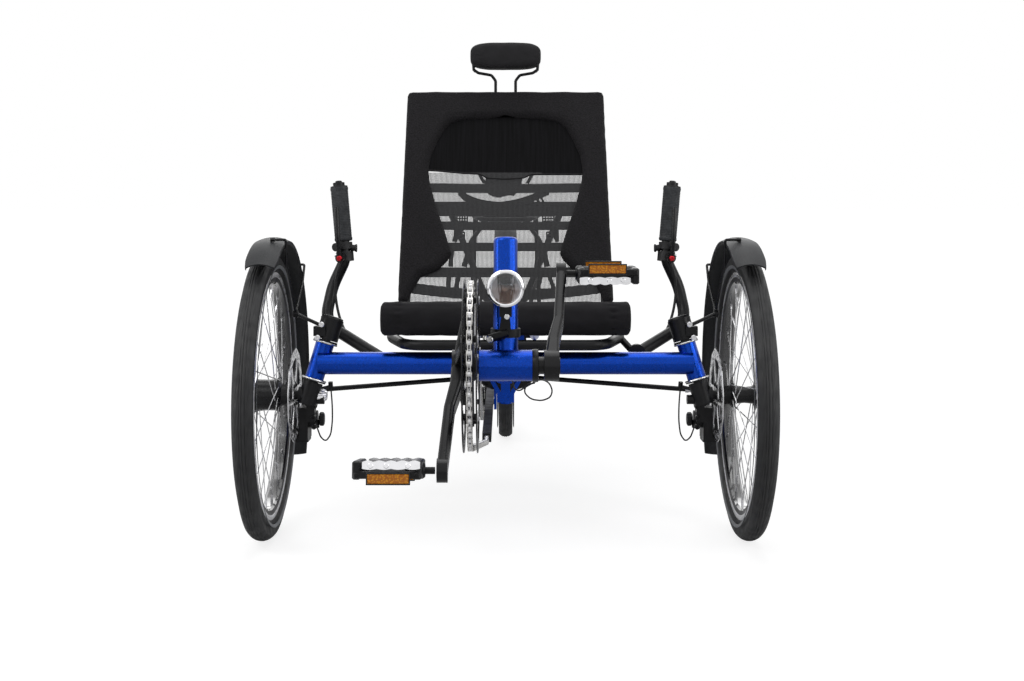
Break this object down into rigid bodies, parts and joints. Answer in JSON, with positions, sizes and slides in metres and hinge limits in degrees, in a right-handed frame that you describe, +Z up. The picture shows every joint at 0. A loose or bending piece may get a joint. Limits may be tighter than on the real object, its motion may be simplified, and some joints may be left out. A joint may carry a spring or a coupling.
{
  "type": "recumbent trike",
  "caption": "Recumbent tadpole trike: two steered front wheels, driven rear wheel, slung mesh seat on a tube frame with pedals ahead of the front axle.",
  "frame": {"origin": "on the ground below the middle of the trike's box", "axes": "+X to the rider's left, +Y from the pedals to the rear wheel, +Z up"},
  "size_m": [0.884, 2.106, 0.9189],
  "materials": {
    "frame_paint": "glossy metallic blue",
    "black_metal": "black anodised",
    "seat_fabric": "black mesh cloth",
    "lamp_body": "polished",
    "lamp_glass": "clear",
    "chain_steel": "bright steel",
    "black_plastic": "moulded",
    "mudguard_plastic": "satin gloss",
    "grip_rubber": "matt",
    "reflector_amber": "prismatic",
    "pedal_alloy": "cast",
    "tyre_rubber": "rubber",
    "spoke_steel": "stainless"
  },
  "bodies": {
    "frame": {"main_frame": "frame_paint", "head_cups": "black_metal", "boom": "frame_paint", "rear_frame": "frame_paint", "seat_back": "seat_fabric", "seat_base": "seat_fabric", "seat_frame": "black_metal", "seat_struts": "black_metal", "headrest_pad": "seat_fabric", "headrest_rods": "black_metal", "headlamp": "lamp_body", "headlamp_lens": "lamp_glass", "headlamp_bracket": "black_metal", "chain": "chain_steel", "chain_tube": "black_plastic", "chain_idler": "black_plastic", "rear_derailleur": "black_metal", "rear_mudguard": "mudguard_plastic", "rear_rack": "black_metal", "lamp_wire": "black_plastic"},
    "handlebar": {"handlebar": "black_metal", "grips": "grip_rubber", "brake_levers": "black_metal", "shifters": "black_plastic", "lever_cable_left": "black_plastic", "lever_cable_right": "black_plastic"},
    "crankset": {"cranks": "black_metal", "chainrings": "black_metal"},
    "rear_wheel": {"tyre_rear": "tyre_rubber", "rim_rear": "black_metal", "spokes_rear": "spoke_steel", "hub_rear": "black_metal", "cassette": "chain_steel"},
    "knuckle_left": {"knuckle_left": "black_metal", "caliper_left": "black_metal", "mudguard_left": "mudguard_plastic", "mudguard_stay_left": "black_metal", "brake_wire_left": "black_plastic"},
    "tie_rod_left": {"tie_rod_left": "black_metal"},
    "front_wheel_left": {"tyre_left": "tyre_rubber", "rim_left": "black_metal", "spokes_left": "spoke_steel", "hub_left": "black_metal", "disc_left": "spoke_steel"},
    "pedal_left": {"pedal_left": "pedal_alloy", "reflectors_left": "reflector_amber"},
    "knuckle_right": {"knuckle_right": "black_metal", "caliper_right": "black_metal", "mudguard_right": "mudguard_plastic", "mudguard_stay_right": "black_metal", "brake_wire_right": "black_plastic"},
    "tie_rod_right": {"tie_rod_right": "black_metal"},
    "front_wheel_right": {"tyre_right": "tyre_rubber", "rim_right": "black_metal", "spokes_right": "spoke_steel", "hub_right": "black_metal", "disc_right": "spoke_steel"},
    "pedal_right": {"pedal_right": "pedal_alloy", "reflectors_right": "reflector_amber"}
  },
  "joints": [
    {"name": "steer", "type": "hinge", "parent": "frame", "child": "handlebar", "pos_m": [0, -0.209, 0.25], "axis": [0, 0, 1], "range_deg": [-18, 18]},
    {"name": "rear_wheel_spin", "type": "hinge", "parent": "frame", "child": "rear_wheel", "pos_m": [0, 0.781, 0.243], "axis": [1, 0, 0], "continuous": true},
    {"name": "crank_spin", "type": "hinge", "parent": "frame", "child": "crankset", "pos_m": [0, -0.884, 0.364], "axis": [1, 0, 0], "continuous": true},
    {"name": "kingpin_left", "type": "hinge", "parent": "frame", "child": "knuckle_left", "pos_m": [0.3345, -0.274, 0.243], "axis": [-0.2798, 0.1336, 0.9507], "range_deg": [-27, 27]},
    {"name": "tie_rod_left_inner", "type": "hinge", "parent": "handlebar", "child": "tie_rod_left", "pos_m": [0.014, -0.143, 0.259], "axis": [0.0135, -0.0679, 0.9976], "range_deg": [-18.08, 18.08]},
    {"name": "front_wheel_left_spin", "type": "hinge", "parent": "knuckle_left", "child": "front_wheel_left", "pos_m": [0.406, -0.274, 0.243], "axis": [1, 0, 0], "continuous": true},
    {"name": "pedal_left_spin", "type": "hinge", "parent": "crankset", "child": "pedal_left", "pos_m": [0.083, -0.76274, 0.4759], "axis": [1, 0, 0], "continuous": true},
    {"name": "kingpin_right", "type": "hinge", "parent": "frame", "child": "knuckle_right", "pos_m": [-0.3345, -0.274, 0.243], "axis": [0.2798, 0.1336, 0.9507], "range_deg": [-27, 27]},
    {"name": "tie_rod_right_inner", "type": "hinge", "parent": "handlebar", "child": "tie_rod_right", "pos_m": [-0.014, -0.143, 0.259], "axis": [-0.0135, -0.0679, 0.9976], "range_deg": [-18.08, 18.08]},
    {"name": "front_wheel_right_spin", "type": "hinge", "parent": "knuckle_right", "child": "front_wheel_right", "pos_m": [-0.406, -0.274, 0.243], "axis": [1, 0, 0], "continuous": true},
    {"name": "pedal_right_spin", "type": "hinge", "parent": "crankset", "child": "pedal_right", "pos_m": [-0.084, -1.00526, 0.2521], "axis": [1, 0, 0], "continuous": true}
  ],
  "couplings": [
    {"joint": "kingpin_left", "follows": "steer", "ratio": 1.5},
    {"joint": "tie_rod_left_inner", "follows": "steer", "ratio": -1.0037},
    {"joint": "kingpin_right", "follows": "steer", "ratio": 1.5},
    {"joint": "tie_rod_right_inner", "follows": "steer", "ratio": -1.0037}
  ]
}
